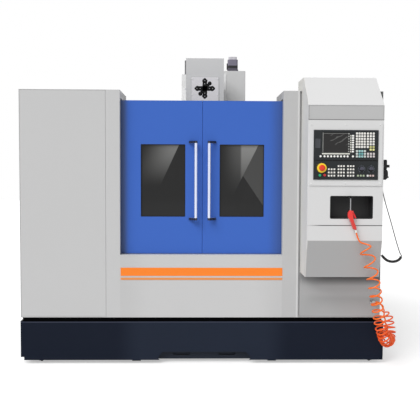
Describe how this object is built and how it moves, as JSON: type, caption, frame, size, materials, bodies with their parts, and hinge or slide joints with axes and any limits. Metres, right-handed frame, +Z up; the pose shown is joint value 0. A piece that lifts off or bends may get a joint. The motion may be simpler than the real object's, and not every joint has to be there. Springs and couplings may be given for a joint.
{
  "type": "cnc machining center",
  "caption": "Vertical machining centre with a sheet-metal enclosure, sliding windowed doors, a moving table and head, a tool magazine and a standing operator console with air gun and handwheel.",
  "frame": {"origin": "on the floor under the middle of the machine's bounding box", "axes": "+X to the operator's right, +Y from the operator to the back, +Z up"},
  "size_m": [2.6042, 2.335, 2.371],
  "materials": {
    "enclosure_grey": "textured light grey enamel",
    "panel_grey": "satin light grey enamel",
    "console_grey": "satin pale grey enamel",
    "door_blue": "satin blue enamel",
    "base_navy": "satin dark navy enamel",
    "band_orange": "satin orange film",
    "casting_grey": "grey casting enamel",
    "ground_iron": "ground working surface",
    "guide_steel": "ground steel",
    "cover_steel": "brushed stainless sheet",
    "galvanised": "zinc-coated sheet",
    "black_steel": "black satin enamel",
    "handle_metal": "satin anodised tube",
    "window_glass": "dark laminated glass",
    "operator_black": "fine-grain black",
    "niche_black": "fine-grain black",
    "stop_red": "gloss red",
    "start_green": "gloss green",
    "knob_black": "matt black",
    "gun_red": "moulded red",
    "hose_orange": "smooth polyurethane",
    "cord_black": "smooth black",
    "fitting_brass": "nickelled brass",
    "motor_dark": "dark enamel",
    "sign_black": "printed plate"
  },
  "bodies": {
    "frame": {"base_pan": "base_navy", "levelling_feet": "black_steel", "coolant_tank": "galvanised", "machine_bed": "casting_grey", "column": "casting_grey", "linear_rails": "guide_steel", "left_guard": "enclosure_grey", "right_guard": "enclosure_grey", "guard_front_panels": "enclosure_grey", "lower_front_panel": "panel_grey", "accent_bands": "band_orange", "enclosure_walls": "enclosure_grey", "chip_tray": "galvanised", "door_rails": "guide_steel", "fixed_way_covers": "cover_steel", "electrical_cabinet": "enclosure_grey", "z_drive_box": "enclosure_grey", "z_motor": "motor_dark", "cable_channel": "black_steel", "console_housing": "console_grey", "panel_frame": "console_grey", "display_unit": "operator_black", "control_panel": "operator_black", "console_niche": "niche_black", "air_gun": "gun_red", "air_hose": "hose_orange", "hose_coupler": "fitting_brass", "pendant_body": "operator_black", "pendant_cord": "cord_black"},
    "left_door": {"left_door": "door_blue", "left_window": "window_glass", "left_handle": "handle_metal"},
    "right_door": {"right_door": "door_blue", "right_window": "window_glass", "right_handle": "handle_metal"},
    "saddle": {"saddle": "casting_grey", "saddle_covers": "cover_steel"},
    "table": {"table": "ground_iron", "table_wings": "cover_steel"},
    "head": {"spindle_head": "casting_grey", "head_covers": "enclosure_grey", "axis_sign_plate": "sign_black"},
    "spindle": {"spindle": "guide_steel"},
    "magazine": {"magazine_carriage": "enclosure_grey"},
    "carousel": {"tool_carousel": "guide_steel", "tool_holders": "guide_steel"},
    "cabinet_door": {"cabinet_door": "enclosure_grey"},
    "estop_button": {"estop_button": "stop_red"},
    "start_button": {"start_button": "start_green"},
    "stop_button": {"stop_button": "stop_red"},
    "feed_knob": {"feed_knob": "knob_black"},
    "speed_knob": {"speed_knob": "knob_black"},
    "pendant_wheel": {"pendant_wheel": "knob_black"},
    "gun_trigger": {"gun_trigger": "gun_red"},
    "y_front_cover": {"y_front_cover_mid": "cover_steel"},
    "y_rear_cover": {"y_rear_cover_mid": "cover_steel"},
    "z_cover": {"z_cover_mid": "cover_steel"},
    "x_screw": {"x_screw": "guide_steel"},
    "y_screw": {"y_screw": "guide_steel"},
    "z_screw": {"z_screw": "guide_steel"}
  },
  "joints": [
    {"name": "left_door_slide", "type": "slide", "parent": "frame", "child": "left_door", "axis": [1, 0, 0], "range_m": [-0.45, 0]},
    {"name": "right_door_slide", "type": "slide", "parent": "frame", "child": "right_door", "axis": [1, 0, 0], "range_m": [0, 0.45]},
    {"name": "saddle_slide", "type": "slide", "parent": "frame", "child": "saddle", "axis": [0, 1, 0], "range_m": [-0.2, 0.2]},
    {"name": "table_slide", "type": "slide", "parent": "saddle", "child": "table", "axis": [1, 0, 0], "range_m": [-0.325, 0.325]},
    {"name": "head_slide", "type": "slide", "parent": "frame", "child": "head", "axis": [0, 0, 1], "range_m": [-0.5, 0]},
    {"name": "spindle_turn", "type": "hinge", "parent": "head", "child": "spindle", "pos_m": [0.015, -0.07, 1.5], "axis": [0, 0, 1], "continuous": true},
    {"name": "magazine_slide", "type": "slide", "parent": "frame", "child": "magazine", "axis": [1, 0, 0], "range_m": [0, 0.24]},
    {"name": "carousel_turn", "type": "hinge", "parent": "magazine", "child": "carousel", "pos_m": [-0.505, -0.07, 1.37], "axis": [0, 0, 1], "continuous": true},
    {"name": "cabinet_door_hinge", "type": "hinge", "parent": "frame", "child": "cabinet_door", "pos_m": [0.445, 1.125, 0.62], "axis": [0, 0, -1], "range_deg": [0, 110]},
    {"name": "estop_press", "type": "slide", "parent": "frame", "child": "estop_button", "axis": [0, 1, 0], "range_m": [0, 0.005]},
    {"name": "start_press", "type": "slide", "parent": "frame", "child": "start_button", "axis": [0, 1, 0], "range_m": [0, 0.003], "stiffness_N_per_m": 400, "springref_m": -0.002},
    {"name": "stop_press", "type": "slide", "parent": "frame", "child": "stop_button", "axis": [0, 1, 0], "range_m": [0, 0.003], "stiffness_N_per_m": 400, "springref_m": -0.002},
    {"name": "feed_knob_turn", "type": "hinge", "parent": "frame", "child": "feed_knob", "pos_m": [1.0225, -1.121, 1.361], "axis": [0, -1, 0], "range_deg": [-150, 150]},
    {"name": "speed_knob_turn", "type": "hinge", "parent": "frame", "child": "speed_knob", "pos_m": [1.083, -1.121, 1.361], "axis": [0, -1, 0], "range_deg": [-150, 150]},
    {"name": "pendant_wheel_turn", "type": "hinge", "parent": "frame", "child": "pendant_wheel", "pos_m": [1.2173, -0.98, 1.326], "axis": [1, 0, 0], "continuous": true},
    {"name": "trigger_pull", "type": "hinge", "parent": "frame", "child": "gun_trigger", "pos_m": [0.963, -1.135, 1.0845], "axis": [0, 1, 0], "range_deg": [0, 8], "stiffness_Nm_per_rad": 0.3, "springref_deg": -8.59},
    {"name": "y_front_cover_slide", "type": "slide", "parent": "frame", "child": "y_front_cover", "axis": [0, 1, 0], "range_m": [-0.1, 0.1]},
    {"name": "y_rear_cover_slide", "type": "slide", "parent": "frame", "child": "y_rear_cover", "axis": [0, 1, 0], "range_m": [-0.1, 0.1]},
    {"name": "z_cover_slide", "type": "slide", "parent": "frame", "child": "z_cover", "axis": [0, 0, 1], "range_m": [-0.25, 0]},
    {"name": "x_screw_turn", "type": "hinge", "parent": "saddle", "child": "x_screw", "pos_m": [0.015, -0.07, 0.728], "axis": [1, 0, 0], "continuous": true},
    {"name": "y_screw_turn", "type": "hinge", "parent": "frame", "child": "y_screw", "pos_m": [0.015, -0.07, 0.49], "axis": [0, 1, 0], "continuous": true},
    {"name": "z_screw_turn", "type": "hinge", "parent": "frame", "child": "z_screw", "pos_m": [0.015, 0.592, 1.6], "axis": [0, 0, 1], "continuous": true}
  ],
  "couplings": [
    {"joint": "y_front_cover_slide", "follows": "saddle_slide", "ratio": 0.5},
    {"joint": "y_rear_cover_slide", "follows": "saddle_slide", "ratio": 0.5},
    {"joint": "z_cover_slide", "follows": "head_slide", "ratio": 0.5},
    {"joint": "x_screw_turn", "follows": "table_slide", "rad_per_m": 628.32},
    {"joint": "y_screw_turn", "follows": "saddle_slide", "rad_per_m": 628.32},
    {"joint": "z_screw_turn", "follows": "head_slide", "rad_per_m": 628.32}
  ]
}
